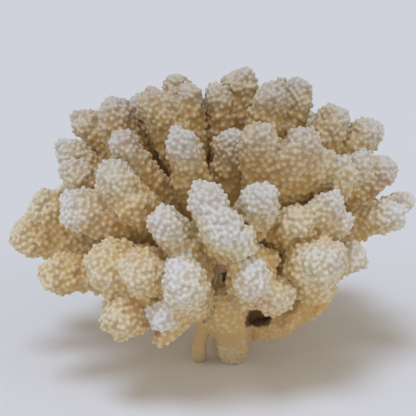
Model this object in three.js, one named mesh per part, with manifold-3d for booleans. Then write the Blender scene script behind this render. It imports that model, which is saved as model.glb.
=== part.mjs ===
// Cauliflower coral: the bleached skeleton of one colony, cut off flat where it grew on rock.
// A short trunk stands on the cut. Stems fork from it in every direction but down, and each ends
// in one to four thick, flattened, knobbly lobes, so that the crown is a wide dome.
// Millimetres, +Z up. The origin is on the cut, under the trunk. -Y is the front, +X the right.
import * as THREE from "three";
import { mergeVertices } from "three/addons/utils/BufferGeometryUtils.js";
import Module from "manifold-3d";

const wasm = await Module();
wasm.setup();

// Driving dimensions
const ROOT = new THREE.Vector3(-6, 2, 42); // the point in the trunk that every stem grows away from
const SEAM = 0.3; // gap left between two solids that touch
const FORK = 0.6; // a stem forks at this share of the way from ROOT to its lobes' tips
const STEM_WIDTH = 22; // usual width and thickness of a forked stem
const STEM_THICKNESS = 15;
const LIFT = 6; // degrees by which a stem starts lower than its lobes end, where no other lift is given
const KNOB = 0.06; // how far the knobs of a lobe stand in and out, as a share of its size
const SIDES = 7; // corners round a club, and round one narrower than SLIM
const SLIM_SIDES = 6;
const SLIM = 22.5;

// Sections of a lobe near its tip: [distance back from the tip in widths, share of full size]
const LOBE_END = [[0.15, 0.72], [0.5, 1.03], [1.2, 0.96]];
const LOBE_START = 0.7; // share of full size where a lobe leaves its fork
const LONE_START = 0.74; // the same for a lobe that has no fork and grows straight from ROOT
// Sections of a stem: [place on the path, share of full size]
const STEM_SECTIONS = [[0.35, 0.9], [0.92, 0.98]];

// Each lobe is [heading, rise, reach, width, thickness, roll]. Heading runs anticlockwise from +X seen
// from above, and rise is above the horizontal, both in degrees. Reach is from ROOT to the lobe's tip.
// Roll turns the wide way of the lobe from upright (0) to level (90). A stem is [width, thickness].
// A negative lift makes a branch arch over and droop towards its tips.
const BRANCHES = {
  far_left_branch: { lobes: [[186, 14, 128, 24, 16, 10], [188, 26, 124, 21, 15, 10]], lift: -12 },
  lower_left_branch: { lobes: [[209, 11, 117, 21, 18, 10]], lift: -16 },
  drooping_front_left_branch: {
    lobes: [[226, 21, 111, 29, 22, 30], [234, 2, 103, 24, 20, 40], [242, 22, 107, 25, 21, 30]],
    stem: [26, 20],
    lift: -8,
  },
  left_palm_branch: {
    lobes: [[208, 31, 118, 23, 17, 20], [218, 46, 118, 25, 18, 80], [226, 42, 104, 20, 16, 70]],
    stem: [24, 16],
    lift: -6,
  },
  left_shoulder_branch: { lobes: [[194, 40, 120, 19, 17, 30]] },
  left_outer_branch: { lobes: [[181, 42, 126, 19, 16, 10]] },
  inner_left_branch: { lobes: [[213, 55, 122, 16, 15, 90]] },
  upper_left_branch: { lobes: [[181, 59, 128, 25, 18, 70], [169, 48, 131, 18, 15, 30]], stem: [24, 16] },
  upper_left_rear_branch: { lobes: [[156, 61, 121, 18, 14, 90]] },
  top_left_branch: {
    lobes: [[192, 69, 123, 23, 19, 90], [166, 80, 118, 18, 14, 90], [141, 72, 125, 17, 14, 90]],
    stem: [30, 17],
  },
  left_upright_branch: { lobes: [[243, 62, 117, 18, 15, 80]] },
  top_middle_branch: { lobes: [[140, 86, 117, 18, 14, 90], [61, 80, 125, 20, 15, 90]], stem: [26, 15] },
  top_right_inner_branch: { lobes: [[352, 78, 121, 22, 16, 90], [28, 72, 122, 13, 11, 90]] },
  top_right_branch: { lobes: [[18, 69, 127, 22, 17, 90]] },
  front_twin_branch: {
    lobes: [[289, 64, 118, 24, 17, 80], [311, 58, 122, 26, 18, 80], [326, 51, 112, 22, 17, 60]],
    stem: [38, 18],
  },
  centre_right_branch: { lobes: [[283, 45, 113, 20, 16, 80]], stem: [26, 14] },
  centre_front_branch: {
    lobes: [[261, 45, 115, 22, 18, 40], [268, 37, 113, 24, 18, 40], [274, 33, 106, 21, 17, 60]],
  },
  knobbly_front_branch: { lobes: [[246, 38, 109, 20, 17, 60], [252, 29, 92, 19, 16, 60]] },
  low_front_left_branch: { lobes: [[256, 23, 103, 26, 22, 10], [246, 8, 94, 18, 15, 0], [244, -5, 84, 11, 10, 0]] },
  low_front_right_branch: { lobes: [[278, 23, 98, 25, 19, 0], [291, 13, 88, 21, 18, 60], [283, 30, 84, 17, 14, 60]] },
  rosette_branch: {
    lobes: [[305, 25, 102, 31, 25, 90], [306, 14, 92, 22, 16, 60], [329, 21, 95, 18, 14, 0]],
    stem: [34, 20],
  },
  inner_right_branch: { lobes: [[304, 40, 96, 21, 17, 90]] },
  right_branch: { lobes: [[316, 41, 106, 20, 15, 80], [322, 33, 101, 17, 13, 90]] },
  far_right_branch: { lobes: [[344, 26, 115, 17, 15, 20], [356, 26, 120, 13, 12, 20]], lift: -14 },
  knobbly_right_branch: {
    lobes: [[329, 48, 113, 20, 14, 10], [341, 45, 118, 16, 14, 60]],
  },
  outer_right_branch: { lobes: [[359, 38, 121, 17, 15, 0]] },
  upper_right_branch: { lobes: [[2, 59, 122, 25, 18, 80], [6, 46, 129, 22, 18, 60]], stem: [28, 17] },
  crown_middle_branch: { lobes: [[279, 78, 99, 19, 14, 60]] },
  back_right_low_branch: { lobes: [[24, 10, 93, 27, 19, 20], [22, 28, 112, 26, 18, 60]] },
  back_right_branch: { lobes: [[41, 13, 112, 27, 19, 40], [46, 31, 115, 28, 19, 80]] },
  back_middle_right_branch: { lobes: [[68, 11, 104, 27, 18, 20], [72, 30, 107, 26, 19, 70]] },
  back_middle_branch: { lobes: [[95, 12, 99, 26, 18, 60], [98, 31, 102, 25, 18, 20]] },
  back_middle_left_branch: { lobes: [[122, 10, 99, 25, 17, 30], [124, 29, 101, 25, 18, 80]] },
  back_left_branch: { lobes: [[147, 13, 105, 24, 17, 20], [150, 31, 108, 24, 17, 60]] },
  back_left_low_branch: { lobes: [[169, 7, 112, 23, 16, 30], [168, 25, 116, 22, 15, 70]] },
  upper_back_right_branch: { lobes: [[22, 49, 119, 25, 18, 80], [47, 51, 115, 26, 18, 70]] },
  upper_back_branch: { lobes: [[76, 49, 109, 26, 18, 80], [98, 56, 108, 24, 17, 70]] },
  upper_back_left_branch: { lobes: [[122, 50, 107, 24, 17, 70], [146, 47, 111, 22, 16, 80]] },
  crown_back_branch: { lobes: [[70, 69, 114, 24, 16, 90]] },
  crown_back_left_branch: { lobes: [[118, 68, 112, 22, 16, 90]] },
};

// The lump in the middle of the trunk, from which the stems fork
const CORE = { centre: [-6, 3, 56], half: [39, 40, 29] };
// Growths of the trunk, as [start, bend, tip, width, thickness, direction of the width]. The stump and
// the prop beside it run down through the cut.
const TRUNK_GROWTHS = {
  stump: [[0, 3, -14], [0, 2, 20], [-6, 0, 62], 34, 38, [1, 0, 0]],
  front_column: [[0, -14, -2], [-1, -34, 14], [-10, -42, 60], 23, 20, [1, 0, 0]],
  crust: [[2, -14, 20], [18, -38, 20], [36, -36, 38], 15, 11, [0, 0, 1]],
  ledge: [[0, 0, 18], [26, -12, 21], [50, -32, 52], 38, 17, [0, 1, 0]],
  prop: [[-12, -30, 52], [-18, -36, 26], [-23, -15, -8], 12, 11, [1, 0, 0]],
};
const TRUNK_SECTIONS = [[0.08, 0.82], [0.35, 0.9], [0.65, 1.04], [0.9, 0.8]];
// The pit under the low front branches: an open hollow in the front of the trunk, behind its crust
const PIT = { centre: [12, -31, 36], half: [8, 13, 8] };

const SKELETON = new THREE.MeshStandardMaterial({ color: 0xd9c6a3, roughness: 0.85, metalness: 0 });

// A point at a heading, rise and reach from ROOT.
function pointAt(heading, rise, reach) {
  const up = THREE.MathUtils.degToRad(rise);
  const round = THREE.MathUtils.degToRad(heading);
  const direction = new THREE.Vector3(Math.cos(up) * Math.cos(round), Math.cos(up) * Math.sin(round), Math.sin(up));
  return direction.multiplyScalar(reach).add(ROOT);
}

// A sphere drawn out along a curve to the given sections, with alternate corners in and out.
// A section is [place on the curve, share of full size], and wide is the direction of the width.
function clubGeometry(curve, sections, width, thickness, wide, knob = 0, grow = 0) {
  const rows = sections.length + 1;
  const sides = width < SLIM ? SLIM_SIDES : SIDES;
  const geometry = new THREE.SphereGeometry(1, sides, rows);
  const position = geometry.getAttribute("position");
  for (let i = 0; i < position.count; i++) {
    const row = Math.floor(i / (sides + 1));
    const side = (i % (sides + 1)) % sides;
    const [place, share] = row === 0 ? [0, 0] : row === rows ? [1, 0] : sections[row - 1];
    const centre = curve.getPointAt(place);
    const tangent = curve.getTangentAt(place);
    if (row === rows) centre.addScaledVector(tangent, grow);
    const across = wide.clone().addScaledVector(tangent, -wide.dot(tangent)).normalize();
    const through = new THREE.Vector3().crossVectors(tangent, across);
    const angle = (side / sides) * 2 * Math.PI;
    const half = share * (1 + knob * ((row + side) % 2 ? 1 : -1));
    const edge = share ? grow : 0;
    centre.addScaledVector(across, Math.cos(angle) * ((width / 2) * half + edge));
    centre.addScaledVector(through, -Math.sin(angle) * ((thickness / 2) * half + edge));
    position.setXYZ(i, centre.x, centre.y, centre.z);
  }
  return geometry;
}

// The direction of a club's width, for a curve and a roll.
function wideWay(curve, roll) {
  const along = curve.getPoint(1).sub(curve.getPoint(0)).normalize();
  const level = new THREE.Vector3().crossVectors(along, new THREE.Vector3(0, 0, 1)).normalize();
  const upright = new THREE.Vector3().crossVectors(level, along);
  return upright.applyAxisAngle(along, THREE.MathUtils.degToRad(roll));
}

// The sections of a lobe whose path has the given length: its start, and then as far back from the tip
// as its width says.
function lobeSections(length, width, start) {
  const end = LOBE_END.map(([back, share]) => [1 - (back * width) / length, share]).reverse();
  return [[0.1, start], ...end.filter(([place]) => place > 0.2)];
}

// The manifold-3d solid of a closed geometry.
function solidOf(geometry) {
  const bare = geometry.clone();
  bare.deleteAttribute("normal");
  bare.deleteAttribute("uv");
  const merged = mergeVertices(bare, 1e-4);
  const solid = new wasm.Manifold(
    new wasm.Mesh({
      numProp: 3,
      vertProperties: new Float32Array(merged.getAttribute("position").array),
      triVerts: new Uint32Array(merged.index.array),
    }),
  );
  if (solid.volume() <= 0) throw new Error("a club is inside out");
  return solid;
}

// A lobe along a path, from its start to its tip.
function lobeSolid(path, [, , , width, thickness, roll], start, grow) {
  const sections = lobeSections(path.getLength(), width, start);
  return solidOf(clubGeometry(path, sections, width, thickness, wideWay(path, roll), KNOB, grow));
}

// The solids of one branch: a stem from ROOT and its lobes, or one lobe drawn out all the way from ROOT.
function branchClubs({ lobes, stem, lift = LIFT }, grow = 0) {
  const tips = lobes.map(([heading, rise, reach]) => pointAt(heading, rise, reach));
  const middle = tips.reduce((sum, tip) => sum.add(tip), new THREE.Vector3()).divideScalar(tips.length).sub(ROOT);
  const reach = middle.length();
  const rise = THREE.MathUtils.radToDeg(Math.asin(middle.z / reach));
  const heading = THREE.MathUtils.radToDeg(Math.atan2(middle.y, middle.x));
  if (lobes.length === 1 && !stem) {
    const path = new THREE.QuadraticBezierCurve3(ROOT, pointAt(heading, rise - lift, reach * 0.55), tips[0]);
    return [lobeSolid(path, lobes[0], LONE_START, grow)];
  }
  const [stemWidth, stemThickness] = stem ?? [STEM_WIDTH, STEM_THICKNESS];
  const fork = pointAt(heading, rise - lift / 2, reach * FORK);
  const path = new THREE.QuadraticBezierCurve3(ROOT, pointAt(heading, rise - lift, reach * FORK * 0.5), fork);
  const wide = wideWay(path, lobes[0][5]);
  const clubs = [solidOf(clubGeometry(path, STEM_SECTIONS, stemWidth, stemThickness, wide, 0, grow))];
  lobes.forEach((lobe, i) => {
    const start = fork.clone().lerp(ROOT, 0.25);
    const turn = fork.clone().lerp(middle.clone().add(ROOT), 0.25).lerp(tips[i], 0.25);
    const lobePath = new THREE.QuadraticBezierCurve3(start, turn, tips[i]);
    clubs.push(lobeSolid(lobePath, lobe, LOBE_START, grow));
  });
  return clubs;
}

// A knobbly ball with the given centre and half-axes.
function lumpSolid({ centre, half }, knob, grow = 0) {
  const geometry = new THREE.SphereGeometry(1, 10, 6);
  const position = geometry.getAttribute("position");
  for (let i = 0; i < position.count; i++) {
    const pole = Math.abs(position.getY(i)) > 0.999;
    const size = pole ? 1 : 1 + knob * ((Math.floor(i / 11) + (i % 11)) % 2 ? 1 : -1);
    const x = centre[0] + position.getX(i) * (half[0] * size + grow);
    const y = centre[1] - position.getZ(i) * (half[1] * size + grow);
    position.setXYZ(i, x, y, centre[2] + position.getY(i) * (half[2] * size + grow));
  }
  return solidOf(geometry);
}

const joined = (solids) => solids.reduce((sum, solid) => sum.add(solid));

// The trunk: the core and its growths, before the cut and the pit are taken out.
function trunkSolid(grow = 0) {
  const growths = Object.values(TRUNK_GROWTHS).map(([start, bend, tip, width, thickness, way]) => {
    const points = [start, bend, tip].map((point) => new THREE.Vector3(...point));
    const curve = new THREE.QuadraticBezierCurve3(...points);
    const wide = new THREE.Vector3(...way);
    return solidOf(clubGeometry(curve, TRUNK_SECTIONS, width, thickness, wide, KNOB, grow));
  });
  return joined([lumpSolid(CORE, KNOB, grow), ...growths]);
}

// The largest piece of a solid: chips that a neighbour cuts off are dropped.
function largest(solid) {
  return solid.decompose().reduce((best, piece) => (piece.volume() > best.volume() ? piece : best));
}

// The space under the cut, so that the trunk and its prop end flat on it.
function belowCut() {
  return solidOf(new THREE.BoxGeometry(400, 400, 100).translate(0, 0, -50));
}

function meshOf(name, solid) {
  const { vertProperties, triVerts, numProp, numVert } = solid.getMesh();
  const points = new Float32Array(numVert * 3);
  for (let i = 0; i < numVert; i++) points.set(vertProperties.subarray(i * numProp, i * numProp + 3), i * 3);
  const geometry = new THREE.BufferGeometry();
  geometry.setAttribute("position", new THREE.BufferAttribute(points, 3));
  geometry.setIndex(new THREE.BufferAttribute(new Uint32Array(triVerts), 1));
  geometry.computeVertexNormals();
  const mesh = new THREE.Mesh(geometry, SKELETON);
  mesh.name = name;
  return mesh;
}

const coral = new THREE.Group();

const trunk = trunkSolid().subtract(belowCut()).subtract(lumpSolid(PIT, KNOB));
coral.add(meshOf("trunk", largest(trunk)));

const grownTrunk = trunkSolid(SEAM);
const placed = [];
for (const [name, branch] of Object.entries(BRANCHES)) {
  let solid = joined(branchClubs(branch)).subtract(grownTrunk);
  for (const earlier of placed) {
    if (solid.intersect(earlier.solid).volume() > 0) solid = solid.subtract(earlier.grown);
  }
  solid = largest(solid);
  placed.push({ solid, grown: joined(branchClubs(branch, SEAM)) });
  coral.add(meshOf(name, solid));
}

export default coral;
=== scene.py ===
import math

import bpy
import numpy as np
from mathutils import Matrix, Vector
from mathutils.bvhtree import BVHTree


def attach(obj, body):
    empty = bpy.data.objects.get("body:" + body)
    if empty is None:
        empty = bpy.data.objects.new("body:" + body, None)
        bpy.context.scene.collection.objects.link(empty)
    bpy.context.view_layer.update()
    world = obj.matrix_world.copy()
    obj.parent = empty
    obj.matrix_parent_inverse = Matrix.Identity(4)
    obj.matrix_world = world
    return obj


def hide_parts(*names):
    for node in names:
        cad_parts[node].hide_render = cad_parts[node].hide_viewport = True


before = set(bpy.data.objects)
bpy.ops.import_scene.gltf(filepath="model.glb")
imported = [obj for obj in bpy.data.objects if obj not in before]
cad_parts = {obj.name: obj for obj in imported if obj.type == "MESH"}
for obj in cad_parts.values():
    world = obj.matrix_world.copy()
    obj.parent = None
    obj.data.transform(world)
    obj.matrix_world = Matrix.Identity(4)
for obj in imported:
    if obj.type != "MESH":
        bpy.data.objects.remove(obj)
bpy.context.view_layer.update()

MM = 0.001
NODE_NAMES = sorted(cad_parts)
TRUNK = NODE_NAMES.index("trunk")

# All sizes and places below are in millimetres, unless a comment says otherwise.

# The point in the trunk that every stem grows away from
ROOT = np.array([-6.0, 2.0, 42.0])

# The smooth body under the warts. The branches shrink a little so that close lobes stay apart, and the
# trunk swells between each pair of heights to fill the clefts where the stems leave it.
BRANCH_SHRINK = 0.5
TRUNK_SWELL = 2.2
TRUNK_SWELL_HEIGHTS = (30, 50)
CORE_SWELL = 4.5
CORE_SWELL_HEIGHTS = (58, 74)
MERGE_DISTANCE = 0.01
BODY_VOXEL = 1.2
BODY_SMOOTHING = 12
# After smoothing, the lobes grow back to their width, by TIP_SWELL at the tip and by SIDE_SWELL down
# the sides. They turn from one to the other over SIDE_SWELL_DEPTHS below the tip. The swelling fades out
# down BASE_HEIGHTS, so that the foot keeps its size.
TIP_SWELL = 0.4
SIDE_SWELL = 3.6
SIDE_SWELL_DEPTHS = (8, 46)
BASE_HEIGHTS = (14, 44)

# Hollows carved out of the body, each as the centre and half-sizes of an egg shape: the arch between the
# stump and its prop, the taper of the stump's right side, the notch between the twin lobes, the pit
# behind the crust, and the dark hole at the head of the front column
ARCH = [[-13.6, -30, 4], [4.0, 20, 21]]
STUMP_TAPER = [[12.5, -18, -6], [9, 30, 20]]
TWIN_NOTCH = [[23.5, -45, 147], [6.2, 16, 14.5]]
CRUST_PIT = [[11.5, -37, 36], [9, 15, 8.5]]
COLUMN_HOLE = [[-6, -42, 65.5], [4, 19, 5.5]]
# The pit and the hole are also painted dark inside, as painted shade in their depth
PAINTED_SHADE_HOLLOWS = [CRUST_PIT, COLUMN_HOLE]
HOLLOWS = [ARCH, STUMP_TAPER, TWIN_NOTCH, *PAINTED_SHADE_HOLLOWS]
# Painted shade in these two hollows begins at the first of these shares of a hollow's half-sizes, and is
# full from the second inwards
PAINTED_SHADE_EDGE = (1.03, 0.9)

# A bump that stands out less than this from the lobe beside it has no tip of its own
LEAST_LOBE = 3.0

# Knobs: the pea-sized swellings that give each lobe its cauliflower outline
KNOB_SPACING = 7.0
KNOB_RADIUS = 4.3
KNOB_RISE = 2.6
# Each knob's radius and rise are multiplied by random shares between these
KNOB_SIZES = (0.75, 1.2)
KNOB_RISES = (0.6, 1.2)
# Knobs grow only this close to a lobe's tip, and only above this height
KNOB_ZONE = 34.0
KNOB_HEIGHT = 24.0
KNOB_SMOOTHING = 2

# Warts: the beads that cover the lobes, each as its value at the tip and down the sides. They turn from
# one to the other over WART_DEPTHS below the tip.
WART_SPACING = (2.3, 3.25)
WART_RADIUS = (1.35, 1.75)
WART_RISE = (1.75, 1.6)
WART_DEPTHS = (4, 28)
# Each wart's radius and rise are multiplied by one random share between these
WART_SIZES = (0.85, 1.15)
# Half the length of a wart, as a share of its rise and at least as a share of its radius
LENGTH_BY_RISE = 1.1
LENGTH_BY_RADIUS = 0.95
# Over FAINT_DEPTHS below the tip, warts lose up to FAINT_SHARE of their rise
FAINT_DEPTHS = (34, 58)
FAINT_SHARE = 0.55
# A lobe has no warts further than this below its tip, or closer than this to ROOT
BARE_BELOW = 58.0
BARE_REACH = 40.0
# How far knobs and warts lean from the surface towards the lobe's tip, as a share
OUTWARD_LEAN = 0.3

# Relief of the trunk, each as [spacing, radius, rise] and the box that it fills: the warts of the front
# column, the grains of the crust, and the splinters of the broken foot. FAR leaves a side without bound.
FAR = 1000.0
COLUMN_WARTS = [3.0, 1.7, 1.1]
COLUMN_BOX = [[-23, -FAR, 30], [9, -26, 64]]
CRUST_GRAINS = [2.3, 1.3, 0.8]
CRUST_BOX = [[4, -FAR, -FAR], [FAR, -12, 48]]
FOOT_GRAINS = [1.8, 1.0, 0.9]
FOOT_BOX = [[-13, -FAR, -FAR], [FAR, -8, 15]]

SKIN_VOXEL = 0.62
SKIN_TRIANGLES = 930000
SEED = 7
# How many random places are tried on each square as wide as the closest spacing
TRIES_PER_PLACE = 5

# How far inside its seam the middle of a piece's hidden end lies
CAP_DEPTH = 3.0
# How many times, at most, stray islands of a node's faces are given away
ISLAND_ROUNDS = 6

# How much whiter (or, below 0, browner) than the rest a branch is: its colours move this far towards
# those of the tips. This is partly each branch's own tone and partly painted light and shade: the front
# lobes are painted whiter, as if lit, and the highest and lowest lobes browner, as if shaded.
BRANCH_TONE_AND_PAINTED_LIGHT = {
    "centre_front_branch": 5.0,
    "left_upright_branch": 2.0,
    "low_front_left_branch": 3.0,
    "low_front_right_branch": 1.0,
    "centre_right_branch": 3.0,
    "right_branch": 2.0,
    "far_right_branch": 2.0,
    "knobbly_front_branch": 2.0,
    "left_palm_branch": 1.5,
    "left_outer_branch": 2.0,
    "top_left_branch": -2.0,
    "top_middle_branch": -2.0,
    "front_twin_branch": -1.0,
    "rosette_branch": -2.0,
    "far_left_branch": -6.0,
    "lower_left_branch": -11.0,
    "drooping_front_left_branch": -8.0,
}

# Colour of a lobe by the distance below its tip
LOBE_COLOURS = [
    (0.0, "#DDDEDD"),
    (8.4, "#DCD2B6"),
    (20.4, "#DCC692"),
    (30.0, "#D9BC80"),
    (48.0, "#D8BF8E"),
    (60.0, "#D4BA8C"),
]
COLOUR_REACH = 60.0
# The trunk has the colours of these distances: cream at the foot, tan from STEM_HEIGHTS up
STEM_CREAM = 14.0
STEM_TAN = 27.0
STEM_HEIGHTS = (8, 40)

# The photograph's camera: straight in front of the coral and a little above it
IMAGE_WIDTH_PIXELS = 416
FOCAL_LENGTH_PIXELS = 1130
SENSOR_WIDTH = 36
CAMERA_TARGET = (-16, -5, 89)
CAMERA_DISTANCE = 650
CAMERA_ELEVATION = 18

# Large soft lamps, each as name, direction in which it shines, softness in degrees, strength, colour
LAMPS = [
    ("overhead_softbox", (0.16, 0.2, -1.0), 25.0, 1.45, "#D4E3FF"),
    ("front_softbox", (-0.05, 1.0, -0.25), 45.0, 0.38, "#FFF1DE"),
    ("left_softbox", (1.0, 0.4, -0.35), 40.0, 0.38, "#F4F6FF"),
    ("right_softbox", (-1.0, 0.4, -0.35), 40.0, 0.4, "#F4F6FF"),
]
ROOM_LIGHT = "#FFF8EE"
ROOM_STRENGTH = 0.38
# Width of the floor, in metres
FLOOR_SIZE = 12


# Small helpers for meshes


def select_only(*items):
    bpy.ops.object.select_all(action="DESELECT")
    for item in items:
        item.select_set(True)
    bpy.context.view_layer.objects.active = items[0]


def apply_modifier(item, kind, **settings):
    select_only(item)
    modifier = item.modifiers.new(kind.title(), kind)
    for key, value in settings.items():
        setattr(modifier, key, value)
    bpy.ops.object.modifier_apply(modifier=modifier.name)


def points_of(mesh):
    flat = np.empty(len(mesh.vertices) * 3, np.float32)
    mesh.vertices.foreach_get("co", flat)
    return flat.reshape(-1, 3).astype(float) / MM


def move_points(mesh, points):
    mesh.vertices.foreach_set("co", (points * MM).astype(np.float32).ravel())
    mesh.update()


def normals_of(mesh):
    flat = np.empty(len(mesh.vertices) * 3, np.float32)
    mesh.vertices.foreach_get("normal", flat)
    return flat.reshape(-1, 3).astype(float)


def edges_of(mesh):
    flat = np.empty(len(mesh.edges) * 2, np.int32)
    mesh.edges.foreach_get("vertices", flat)
    return flat.reshape(-1, 2)


def triangles_of(mesh):
    mesh.calc_loop_triangles()
    flat = np.empty(len(mesh.loop_triangles) * 3, np.int32)
    mesh.loop_triangles.foreach_get("vertices", flat)
    return flat.reshape(-1, 3)


def object_from(name, points, triangles):
    mesh = bpy.data.meshes.new(name)
    mesh.vertices.add(len(points))
    mesh.vertices.foreach_set("co", (points * MM).astype(np.float32).ravel())
    mesh.loops.add(triangles.size)
    mesh.loops.foreach_set("vertex_index", triangles.astype(np.int32).ravel())
    mesh.polygons.add(len(triangles))
    mesh.polygons.foreach_set("loop_start", np.arange(0, triangles.size, 3, dtype=np.int32))
    mesh.update(calc_edges=True)
    item = bpy.data.objects.new(name, mesh)
    bpy.context.collection.objects.link(item)
    return item


def store(mesh, name, values):
    layer = mesh.attributes.new(name, "FLOAT", "POINT")
    layer.data.foreach_set("value", np.ascontiguousarray(values, np.float32))


def unit(vectors):
    return vectors / np.linalg.norm(vectors, axis=1)[:, None]


def smooth_step(value, low, high):
    """A soft ramp from 0 at low to 1 at high, which may also be the lower of the two."""
    share = np.clip((value - low) / (high - low), 0, 1)
    return share * share * (3 - 2 * share)


def between(first, last, share):
    return first + (last - first) * share


def inside(points, box):
    """Whether each point is inside a box, given as its lowest and highest corner."""
    low, high = np.array(box)
    return ((points > low) & (points < high)).all(axis=1)


def blended(values, corners, weights):
    """The values at places on a surface, mixed from those at the corners of their triangles."""
    if values.ndim == 2:
        weights = weights[..., None]
    return (values[corners] * weights).sum(axis=1)


def sides_of(triangles):
    return np.concatenate([triangles[:, [0, 1]], triangles[:, [1, 2]], triangles[:, [2, 0]]])


def patches(count, edges):
    """For each vertex, the lowest vertex of the connected patch that it is in."""
    label = np.arange(count)
    while len(edges):
        ends = label[edges]
        low = ends.min(axis=1)
        np.minimum.at(label, ends[:, 0], low)
        np.minimum.at(label, ends[:, 1], low)
        while not np.array_equal(label, label[label]):
            label = label[label]
        edges = edges[label[edges[:, 0]] != label[edges[:, 1]]]
    return label


# The smooth body: the CAD's trunk and branches run together


def joined_copy_of_nodes():
    copies = []
    for name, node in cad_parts.items():
        copy = bpy.data.objects.new("copy_of_" + name, node.data.copy())
        bpy.context.collection.objects.link(copy)
        select_only(copy)
        bpy.ops.object.mode_set(mode="EDIT")
        bpy.ops.mesh.select_all(action="SELECT")
        bpy.ops.mesh.remove_doubles(threshold=MERGE_DISTANCE * MM)
        bpy.ops.object.mode_set(mode="OBJECT")
        points = points_of(copy.data)
        swell = np.full(len(points), -BRANCH_SHRINK)
        if name == "trunk":
            swell = TRUNK_SWELL * smooth_step(points[:, 2], *TRUNK_SWELL_HEIGHTS)
            swell += CORE_SWELL * smooth_step(points[:, 2], *CORE_SWELL_HEIGHTS)
        move_points(copy.data, points + normals_of(copy.data) * swell[:, None])
        copies.append(copy)
    select_only(*copies)
    bpy.ops.object.join()
    body = bpy.context.view_layer.objects.active
    body.name = "body"
    return body


def carve(item, centre, half):
    """Takes an egg-shaped hollow with the given centre and half-sizes out of an object."""
    bpy.ops.object.select_all(action="DESELECT")
    place = [value * MM for value in centre]
    bpy.ops.mesh.primitive_ico_sphere_add(subdivisions=3, radius=MM, location=place, scale=half)
    cutter = bpy.context.view_layer.objects.active
    apply_modifier(item, "BOOLEAN", object=cutter, operation="DIFFERENCE", solver="MANIFOLD")
    bpy.data.objects.remove(cutter)


def lobe_tips(points, edges):
    """For each vertex, the vertex at the tip of the lobe that it leads up to, and how far below it is.

    The vertices are taken from the outermost inwards. One with no neighbour further out starts a lobe,
    and where two lobes meet, one that hardly stands out becomes part of the longer one.
    """
    reach = np.linalg.norm(points - ROOT, axis=1)
    count = len(reach)
    order = np.argsort(-reach)
    rank = np.empty(count, np.int64)
    rank[order] = np.arange(count)
    both = np.concatenate([edges, edges[:, ::-1]])
    both = both[rank[both[:, 1]] < rank[both[:, 0]]]
    both = both[np.argsort(rank[both[:, 0]], kind="stable")]
    starts = np.searchsorted(rank[both[:, 0]], np.arange(count + 1))
    further_out = both[:, 1].tolist()
    parent = list(range(count))
    reaches = reach.tolist()

    def tip_of(vertex):
        while parent[vertex] != vertex:
            parent[vertex] = parent[parent[vertex]]
            vertex = parent[vertex]
        return vertex

    label = [0] * count
    for place, vertex in enumerate(order.tolist()):
        lobes = {tip_of(label[other]) for other in further_out[starts[place] : starts[place + 1]]}
        if not lobes:
            label[vertex] = vertex
            continue
        longest = max(lobes, key=lambda tip: reaches[tip])
        for other in lobes:
            if other != longest and reaches[other] - reaches[vertex] < LEAST_LOBE:
                parent[other] = longest
        label[vertex] = longest
    tips = np.array([tip_of(one) for one in label])
    return tips, np.maximum(reach[tips] - reach, 0)


def smooth_body():
    body = joined_copy_of_nodes()
    apply_modifier(body, "REMESH", mode="VOXEL", voxel_size=BODY_VOXEL * MM)
    for centre, half in HOLLOWS:
        carve(body, centre, half)
    apply_modifier(body, "SMOOTH", factor=0.5, iterations=BODY_SMOOTHING)
    mesh = body.data
    points = points_of(mesh)
    below = lobe_tips(points, edges_of(mesh))[1]
    swell = between(TIP_SWELL, SIDE_SWELL, smooth_step(below, *SIDE_SWELL_DEPTHS))
    swell *= smooth_step(points[:, 2], *BASE_HEIGHTS)
    points += normals_of(mesh) * swell[:, None]
    points[:, 2] = np.maximum(points[:, 2], 0)
    move_points(mesh, points)
    return body


# Knobs and warts: small egg shapes set on the surface at random and fused with it


def scattered(points, triangles, spacing_at, allowed_at, rng):
    """Places on a surface that keep their spacing: each one's point, triangle and corner weights."""
    a, b, c = (points[triangles[:, corner]] for corner in range(3))
    area = np.linalg.norm(np.cross(b - a, c - a), axis=1) / 2
    tries = int(area.sum() / spacing_at.min() ** 2 * TRIES_PER_PLACE)
    pick = rng.choice(len(triangles), size=tries, p=area / area.sum())
    u, v = rng.random(tries), rng.random(tries)
    over = u + v > 1
    u[over], v[over] = 1 - u[over], 1 - v[over]
    weights = np.stack([1 - u - v, u, v], axis=1)
    corners = triangles[pick]
    allowed = allowed_at[corners[:, 0]]
    weights, corners = weights[allowed], corners[allowed]
    spots = blended(points, corners, weights)
    gaps = blended(spacing_at, corners, weights)

    # A try is kept if no kept one is nearer than its gap. Only the cells around it are searched.
    homes = np.floor(spots / spacing_at.max()).astype(int).tolist()
    near = [(x, y, z) for x in (-1, 0, 1) for y in (-1, 0, 1) for z in (-1, 0, 1)]
    grid, chosen = {}, []
    for index, (home, spot, gap) in enumerate(zip(homes, spots.tolist(), gaps.tolist())):
        least = gap * gap
        x, y, z = spot
        crowded = False
        for dx, dy, dz in near:
            for px, py, pz in grid.get((home[0] + dx, home[1] + dy, home[2] + dz), ()):
                if (px - x) ** 2 + (py - y) ** 2 + (pz - z) ** 2 < least:
                    crowded = True
                    break
            if crowded:
                break
        if not crowded:
            grid.setdefault(tuple(home), []).append((x, y, z))
            chosen.append(index)
    return spots[chosen], corners[chosen], weights[chosen]


def ball():
    """Points and triangles of a ball with a radius of 1."""
    bpy.ops.object.select_all(action="DESELECT")
    bpy.ops.mesh.primitive_ico_sphere_add(subdivisions=2, radius=MM)
    item = bpy.context.view_layer.objects.active
    points, triangles = points_of(item.data), triangles_of(item.data)
    bpy.data.objects.remove(item)
    return points, triangles


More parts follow.
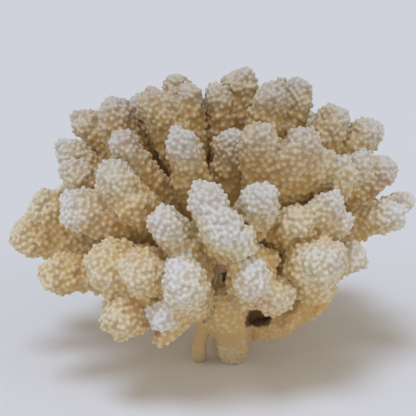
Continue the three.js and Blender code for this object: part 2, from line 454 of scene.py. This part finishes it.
def buds(name, centres, axes, half_widths, half_lengths):
    """One mesh of many small egg shapes, each at its own place, along its own axis."""
    shape, faces = ball()
    any_direction = np.array([0.31, 0.52, 0.79])
    side = unit(np.cross(axes, any_direction))
    other = np.cross(axes, side)
    points = (
        centres[:, None, :]
        + shape[None, :, 0, None] * (side * half_widths[:, None])[:, None, :]
        + shape[None, :, 1, None] * (other * half_widths[:, None])[:, None, :]
        + shape[None, :, 2, None] * (axes * half_lengths[:, None])[:, None, :]
    )
    steps = (np.arange(len(centres)) * len(shape))[:, None, None]
    return object_from(name, points.reshape(-1, 3), (faces[None] + steps).reshape(-1, 3))


def fuse(body, extra, voxel):
    select_only(body, extra)
    bpy.ops.object.join()
    apply_modifier(body, "REMESH", mode="VOXEL", voxel_size=voxel * MM)


def add_knobs(body, rng):
    mesh = body.data
    points, normals, triangles = points_of(mesh), normals_of(mesh), triangles_of(mesh)
    tips, below = lobe_tips(points, edges_of(mesh))
    spacing = np.full(len(points), KNOB_SPACING)
    allowed = (below < KNOB_ZONE) & (points[:, 2] > KNOB_HEIGHT)
    spots, corners, _ = scattered(points, triangles, spacing, allowed, rng)
    first = corners[:, 0]
    outward = unit(points[tips[first]] - ROOT)
    axes = unit(normals[first] + OUTWARD_LEAN * outward)
    radius = KNOB_RADIUS * rng.uniform(*KNOB_SIZES, len(spots))
    rise = KNOB_RISE * rng.uniform(*KNOB_RISES, len(spots))
    centres = spots - axes * (radius - rise)[:, None]
    fuse(body, buds("knobs", centres, axes, radius, radius), BODY_VOXEL)
    apply_modifier(body, "SMOOTH", factor=0.5, iterations=KNOB_SMOOTHING)


def nearest_nodes(points):
    """For each point, the index of the CAD node that it is nearest to."""
    corners, faces, owners = [], [], []
    for index, name in enumerate(NODE_NAMES):
        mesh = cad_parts[name].data
        first = len(corners)
        corners.extend(vertex.co.copy() for vertex in mesh.vertices)
        for polygon in mesh.polygons:
            faces.append([first + corner for corner in polygon.vertices])
            owners.append(index)
    tree = BVHTree.FromPolygons(corners, faces)
    return np.array([owners[tree.find_nearest(Vector(point * MM))[2]] for point in points])


def wart_plan(points, below, node):
    """The warts' spacing, radius and rise at each point of the body, and where there are any."""
    sideness = smooth_step(below, *WART_DEPTHS)
    spacing = between(*WART_SPACING, sideness)
    radius = between(*WART_RADIUS, sideness)
    rise = between(*WART_RISE, sideness) * (1 - FAINT_SHARE * smooth_step(below, *FAINT_DEPTHS))
    trunk = node == TRUNK
    column = trunk & inside(points, COLUMN_BOX)
    crust = trunk & inside(points, CRUST_BOX)
    foot = trunk & inside(points, FOOT_BOX) & ~crust
    for zone, relief in ((column, COLUMN_WARTS), (crust, CRUST_GRAINS), (foot, FOOT_GRAINS)):
        spacing[zone], radius[zone], rise[zone] = relief
    reach = np.linalg.norm(points - ROOT, axis=1)
    lobes = (below < BARE_BELOW) & (reach > BARE_REACH) & ~trunk
    return spacing, radius, rise, lobes | column | crust | foot


def warts_for(mesh, tips, below, node, rng):
    points, normals, triangles = points_of(mesh), normals_of(mesh), triangles_of(mesh)
    spacing, radius, rise, allowed = wart_plan(points, below, node)
    spots, corners, weights = scattered(points, triangles, spacing, allowed, rng)
    first = corners[:, 0]
    outward = unit(points[tips[first]] - ROOT)
    lean = np.where(node[first] == TRUNK, 0, OUTWARD_LEAN)
    axes = unit(unit(blended(normals, corners, weights)) + lean[:, None] * outward)
    size = rng.uniform(*WART_SIZES, len(spots))
    radius = blended(radius, corners, weights) * size
    rise = blended(rise, corners, weights) * size
    # A wart is sunk into the body so that it stands out by its rise
    length = np.maximum(rise * LENGTH_BY_RISE, radius * LENGTH_BY_RADIUS)
    centres = spots + axes * (rise - length)[:, None]
    return buds("warts", centres, axes, radius, length)


def warty_skin(body, warts):
    """A copy of the body fused with the warts, thinned, and cut off flat where it rests."""
    skin = body.copy()
    skin.data = body.data.copy()
    skin.name = "skin"
    bpy.context.collection.objects.link(skin)
    fuse(skin, warts, SKIN_VOXEL)
    share = SKIN_TRIANGLES / (2 * len(skin.data.polygons))
    if share < 1:
        apply_modifier(skin, "DECIMATE", ratio=share)
    points = points_of(skin.data)
    points[:, 2] = np.maximum(points[:, 2], 0)
    move_points(skin.data, points)
    return skin


# What the material reads at each point of the skin


def painted_hollow_shade(points):
    """How much painted shade lies on each point: all of it in the two dark hollows, none outside them."""
    share = np.zeros(len(points))
    for centre, half in PAINTED_SHADE_HOLLOWS:
        depth = np.linalg.norm((points - np.array(centre)) / np.array(half), axis=1)
        share = np.maximum(share, smooth_step(depth, *PAINTED_SHADE_EDGE))
    return share


def measured(skin, body, below, node):
    """For each point of the skin, the node that it belongs to and what the material reads there.

    The node, the distance below the lobe's tip and the rise above the knobbed body come from the nearest
    place on that body, and the painted shade of the two hollows from the point's own place.
    """
    mesh = body.data
    corners = [vertex.co for vertex in mesh.vertices]
    tree = BVHTree.FromPolygons(corners, [polygon.vertices for polygon in mesh.polygons])
    first_corner = [polygon.vertices[0] for polygon in mesh.polygons]
    count = len(skin.data.vertices)
    nearest = np.empty(count, np.int64)
    rise = np.empty(count)
    for index, vertex in enumerate(skin.data.vertices):
        spot, normal, face, _ = tree.find_nearest(vertex.co)
        nearest[index] = first_corner[face]
        rise[index] = (vertex.co - spot).dot(normal)
    points = points_of(skin.data)
    owner = node[nearest]
    stem = between(STEM_CREAM, STEM_TAN, smooth_step(points[:, 2], *STEM_HEIGHTS))
    tip_distance = np.where(owner == TRUNK, stem, below[nearest])
    return owner, {"tip_distance": tip_distance, "rise": rise / MM, "hollow_shade": painted_hollow_shade(points)}


# One closed piece for each CAD node


def touching_pairs(triangles):
    """Each pair of triangles that share a side."""
    sides = np.sort(sides_of(triangles), axis=1)
    key = sides[:, 0] * (triangles.max() + 1) + sides[:, 1]
    order = np.argsort(key, kind="stable")
    key = key[order]
    face = order % len(triangles)
    same = key[1:] == key[:-1]
    return np.stack([face[:-1][same], face[1:][same]], axis=1)


def without_islands(owner, pairs):
    """Gives each stray island of a node's faces to a node that it touches."""
    owner = owner.copy()
    for _ in range(ISLAND_ROUNDS):
        same = owner[pairs[:, 0]] == owner[pairs[:, 1]]
        patch = patches(len(owner), pairs[same])
        size = np.bincount(patch, minlength=len(owner))
        largest = np.zeros(owner.max() + 1, int)
        np.maximum.at(largest, owner[patch], size[patch])
        stray = size[patch] < largest[owner]
        if not stray.any():
            break
        cross = pairs[~same]
        cross = np.concatenate([cross, cross[:, ::-1]])
        cross = cross[stray[cross[:, 0]] & ~stray[cross[:, 1]]]
        taker = np.full(len(owner), -1)
        taker[patch[cross[:, 0]]] = owner[cross[:, 1]]
        given = stray & (taker[patch] >= 0)
        owner[given] = taker[patch][given]
    return owner


def capped(points, triangles):
    """Closes each seam to a neighbour with a fan of faces around its middle, inside the coral."""
    sides = sides_of(triangles)
    count = len(points)
    seam = sides[~np.isin(sides @ [count, 1], sides @ [1, count])]
    label = patches(count, seam)
    loops, which = np.unique(label[seam[:, 0]], return_inverse=True)
    middles = np.array([points[np.unique(seam[which == loop])].mean(axis=0) for loop in range(len(loops))])
    middles += unit(ROOT - middles) * CAP_DEPTH
    fans = np.stack([seam[:, 1], seam[:, 0], count + which], axis=1)
    return np.concatenate([points, middles]), np.concatenate([triangles, fans])


def parted(skin, owner, measures):
    """Parts the skin, without the bubbles inside it, at the CAD's seams."""
    mesh = skin.data
    points, triangles = points_of(mesh), triangles_of(mesh).astype(np.int64)
    patch = patches(len(points), edges_of(mesh))
    triangles = triangles[patch[triangles[:, 0]] == np.bincount(patch).argmax()]
    face_owner = without_islands(owner[triangles[:, 0]], touching_pairs(triangles))
    pieces = []
    for index, name in enumerate(NODE_NAMES):
        used, renumbered = np.unique(triangles[face_owner == index], return_inverse=True)
        outside = renumbered.reshape(-1, 3)
        spots, faces = capped(points[used], outside)
        piece = object_from("coral_" + name, spots, faces)
        piece.data.polygons.foreach_set("use_smooth", np.arange(len(faces)) < len(outside))
        extra = np.zeros(len(spots) - len(used))
        for measure, values in measures.items():
            store(piece.data, measure, np.concatenate([values[used], extra]))
        # Each branch's shift of its colours, partly its own tone and partly painted light and shade
        store(piece.data, "tone_and_painted_light", np.full(len(spots), BRANCH_TONE_AND_PAINTED_LIGHT.get(name, 0.0)))
        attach(piece, "root")
        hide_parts(name)
        pieces.append(piece)
    bpy.data.objects.remove(skin)
    return pieces


def coral():
    body = smooth_body()
    add_knobs(body, np.random.default_rng(SEED))
    points = points_of(body.data)
    tips, below = lobe_tips(points, edges_of(body.data))
    node = nearest_nodes(points)
    warts = warts_for(body.data, tips, below, node, np.random.default_rng(SEED + 1))
    skin = warty_skin(body, warts)
    owner, measures = measured(skin, body, below, node)
    bpy.data.objects.remove(body)
    return parted(skin, owner, measures)


# Materials


def linear(code):
    """An sRGB hex colour as the linear colour that Blender's sockets hold."""
    channels = [int(code[place : place + 2], 16) / 255 for place in (1, 3, 5)]
    return tuple(c / 12.92 if c <= 0.04045 else ((c + 0.055) / 1.055) ** 2.4 for c in channels) + (1.0,)


def add_node(tree, kind, inputs=None, **settings):
    node = tree.nodes.new(kind)
    for key, value in settings.items():
        setattr(node, key, value)
    for key, value in (inputs or {}).items():
        if isinstance(value, bpy.types.NodeSocket):
            tree.links.new(value, node.inputs[key])
        else:
            node.inputs[key].default_value = value
    return node


def per_metre(size):
    """The scale of a pattern whose features have the given size."""
    return 1 / (size * MM)


def lobe_colour(tree, spot):
    """Colour by distance below the lobe's tip, and that distance as a share of COLOUR_REACH.

    The tips are the youngest part and bleach to white, and older parts keep their cream and tan. The
    bounds wander by up to 11 mm, in patches as wide as a lobe.
    """
    wander = 11.0
    patch_size = 22.2
    tip = add_node(tree, "ShaderNodeAttribute", attribute_name="tip_distance").outputs["Fac"]
    # Per-branch shift: partly the branch's own tone, partly painted light on the front lobes and painted
    # shade on the highest and lowest
    tone_and_painted_light = add_node(tree, "ShaderNodeAttribute", attribute_name="tone_and_painted_light").outputs["Fac"]
    patch = add_node(
        tree, "ShaderNodeTexNoise", {"Vector": spot, "Scale": per_metre(patch_size), "Detail": 3.0}
    )
    wandering = add_node(
        tree,
        "ShaderNodeMath",
        {0: patch.outputs["Fac"], 1: 2 * wander, 2: -wander},
        operation="MULTIPLY_ADD",
    )
    shift = add_node(tree, "ShaderNodeMath", {0: wandering.outputs[0], 1: tone_and_painted_light}, operation="SUBTRACT")
    along = add_node(tree, "ShaderNodeMath", {0: tip, 1: shift.outputs[0]}, operation="ADD")
    share = add_node(
        tree, "ShaderNodeMapRange", {"Value": along.outputs[0], "From Min": 0.0, "From Max": COLOUR_REACH}
    )
    ramp = add_node(tree, "ShaderNodeValToRGB", {"Fac": share.outputs[0]})
    elements = ramp.color_ramp.elements
    elements[0].color = linear(LOBE_COLOURS[0][1])
    elements[1].color = linear(LOBE_COLOURS[-1][1])
    for distance, code in LOBE_COLOURS[1:-1]:
        elements.new(distance / COLOUR_REACH).color = linear(code)
    return ramp.outputs[0], share.outputs[0]


def stained(tree, spot, colour):
    """Pinkish stains in patches, such as algae leave in a skeleton."""
    stain_size = 38.5
    noise = add_node(
        tree,
        "ShaderNodeTexNoise",
        {"Vector": spot, "Scale": per_metre(stain_size), "Detail": 4.0, "Roughness": 0.6},
    )
    share = add_node(
        tree,
        "ShaderNodeMapRange",
        {"Value": noise.outputs["Fac"], "From Min": 0.5, "From Max": 0.68, "To Max": 0.28},
    )
    mix = add_node(
        tree,
        "ShaderNodeMix",
        {"Factor": share.outputs[0], "A": colour, "B": linear("#CFA48A")},
        data_type="RGBA",
    )
    return mix.outputs["Result"]


def beads_with_painted_light_and_shade(tree, colour, along):
    """Pale crowns on the warts, partly their own colour and partly painted light, and golden valleys
    between them, darkened as painted shade, that fade out down the stems.

    The rise is in millimetres above the knobbed body.
    """
    rise = add_node(tree, "ShaderNodeAttribute", attribute_name="rise").outputs["Fac"]
    # Painted light, in part: the higher a point stands on its wart, the whiter it is painted
    crown_light = add_node(
        tree, "ShaderNodeMapRange", {"Value": rise, "From Min": 0.4, "From Max": 1.9, "To Max": 0.45}
    )
    white = add_node(
        tree,
        "ShaderNodeMix",
        {"Factor": crown_light.outputs[0], "A": colour, "B": linear("#EBE4D8")},
        data_type="RGBA",
    )
    # Painted shade: the sunk gaps between warts near the tips are multiplied darker and golden
    sinking = add_node(
        tree, "ShaderNodeMapRange", {"Value": rise, "From Min": 0.8, "From Max": -0.1, "To Max": 0.5}
    )
    near_tip = add_node(tree, "ShaderNodeMapRange", {"Value": along, "From Min": 0.75, "From Max": 0.35})
    valley_shade = add_node(
        tree, "ShaderNodeMath", {0: sinking.outputs[0], 1: near_tip.outputs[0]}, operation="MULTIPLY"
    )
    valley_shaded = add_node(
        tree,
        "ShaderNodeMix",
        {"Factor": valley_shade.outputs[0], "A": white.outputs["Result"], "B": linear("#DDBA80")},
        data_type="RGBA",
        blend_type="MULTIPLY",
    )
    return valley_shaded.outputs["Result"]


def painted_top_and_hollow_shade(tree, spot, colour):
    """Painted shade that dulls the highest lobes, and dark painted shade in the two hollows."""
    height = add_node(tree, "ShaderNodeSeparateXYZ", {0: spot}).outputs["Z"]
    # Painted shade: the colour is multiplied darker from 95 mm up to 150 mm in height, so that the highest
    # lobes look shaded
    top_shade = add_node(
        tree, "ShaderNodeMapRange", {"Value": height, "From Min": 95 * MM, "From Max": 150 * MM}
    )
    top_shaded = add_node(
        tree,
        "ShaderNodeMix",
        {"Factor": top_shade.outputs[0], "A": colour, "B": linear("#E8E4DF")},
        data_type="RGBA",
        blend_type="MULTIPLY",
    )
    # Painted shade: the pit behind the crust and the hole at the head of the front column are painted dark
    # brown
    hollow_shade = add_node(tree, "ShaderNodeAttribute", attribute_name="hollow_shade").outputs["Fac"]
    mix = add_node(
        tree,
        "ShaderNodeMix",
        {"Factor": hollow_shade, "A": top_shaded.outputs["Result"], "B": linear("#66503C")},
        data_type="RGBA",
    )
    return mix.outputs["Result"]


def pore_bump(tree, spot):
    """The polyps' pits, and the grain between them, which is drawn coarser than real so that it shows."""
    pit_size = 0.909
    grain_size = 1.111
    pits = add_node(tree, "ShaderNodeTexVoronoi", {"Vector": spot, "Scale": per_metre(pit_size)})
    grain = add_node(
        tree, "ShaderNodeTexNoise", {"Vector": spot, "Scale": per_metre(grain_size), "Detail": 4.0}
    )
    height = add_node(
        tree, "ShaderNodeMath", {0: pits.outputs["Distance"], 1: grain.outputs["Fac"]}, operation="ADD"
    )
    bump = add_node(
        tree, "ShaderNodeBump", {"Height": height.outputs[0], "Strength": 0.5, "Distance": 0.25 * MM}
    )
    return bump.outputs[0]


def bleached_aragonite_skeleton():
    # Aragonite is the chalky mineral that coral polyps lay down as their skeleton, here cleaned and
    # bleached in the sun. To the eye it is matt and porous, white where it is youngest and golden cream
    # below, and it glows a little in thin places, because light goes a few millimetres into it.
    material = bpy.data.materials.new("bleached_aragonite_skeleton")
    material.use_nodes = True
    tree = material.node_tree
    tree.nodes.clear()
    spot = add_node(tree, "ShaderNodeTexCoord").outputs["Object"]
    colour, along = lobe_colour(tree, spot)
    colour = stained(tree, spot, colour)
    colour = beads_with_painted_light_and_shade(tree, colour, along)
    colour = painted_top_and_hollow_shade(tree, spot, colour)
    shader = add_node(
        tree,
        "ShaderNodeBsdfPrincipled",
        {
            "Base Color": colour,
            "Roughness": 0.78,
            "IOR": 1.5,
            "Subsurface Weight": 0.25,
            "Subsurface Radius": (1.0, 0.62, 0.36),
            "Subsurface Scale": 2.2 * MM,
            "Normal": pore_bump(tree, spot),
        },
    )
    add_node(tree, "ShaderNodeOutputMaterial", {"Surface": shader.outputs[0]})
    return material


def pale_paper():
    # Matt uncoated paper, rolled smooth: an even light grey that takes a soft shadow
    material = bpy.data.materials.new("pale_paper")
    material.use_nodes = True
    shader = material.node_tree.nodes["Principled BSDF"]
    shader.inputs["Base Color"].default_value = linear("#E9E9E9")
    shader.inputs["Roughness"].default_value = 0.9
    return material


# Floor, light and camera


def add_floor():
    bpy.ops.object.select_all(action="DESELECT")
    bpy.ops.mesh.primitive_plane_add(size=FLOOR_SIZE)
    floor = bpy.context.view_layer.objects.active
    floor.name = "floor"
    floor.data.materials.append(pale_paper())


def add_lamp(name, direction, softness, strength, code):
    light = bpy.data.lights.new(name, "SUN")
    light.angle = math.radians(softness)
    light.energy = strength
    light.color = linear(code)[:3]
    lamp = bpy.data.objects.new(name, light)
    bpy.context.collection.objects.link(lamp)
    lamp.rotation_euler = Vector(direction).to_track_quat("-Z", "Y").to_euler()


def add_room_light():
    world = bpy.data.worlds.new("studio")
    bpy.context.scene.world = world
    world.use_nodes = True
    background = world.node_tree.nodes["Background"]
    background.inputs["Color"].default_value = linear(ROOM_LIGHT)
    background.inputs["Strength"].default_value = ROOM_STRENGTH


def add_camera():
    lens = bpy.data.cameras.new("camera")
    lens.lens = SENSOR_WIDTH * FOCAL_LENGTH_PIXELS / IMAGE_WIDTH_PIXELS
    camera = bpy.data.objects.new("camera", lens)
    bpy.context.collection.objects.link(camera)
    elevation = math.radians(CAMERA_ELEVATION)
    target = Vector(CAMERA_TARGET) * MM
    back = Vector((0, -math.cos(elevation), math.sin(elevation)))
    camera.location = target + back * (CAMERA_DISTANCE * MM)
    camera.rotation_euler = (target - camera.location).to_track_quat("-Z", "Y").to_euler()
    bpy.context.scene.camera = camera


skeleton = bleached_aragonite_skeleton()
for piece in coral():
    piece.data.materials.append(skeleton)

add_floor()
add_room_light()
for lamp in LAMPS:
    add_lamp(*lamp)
add_camera()
bpy.context.scene.view_settings.view_transform = "Standard"
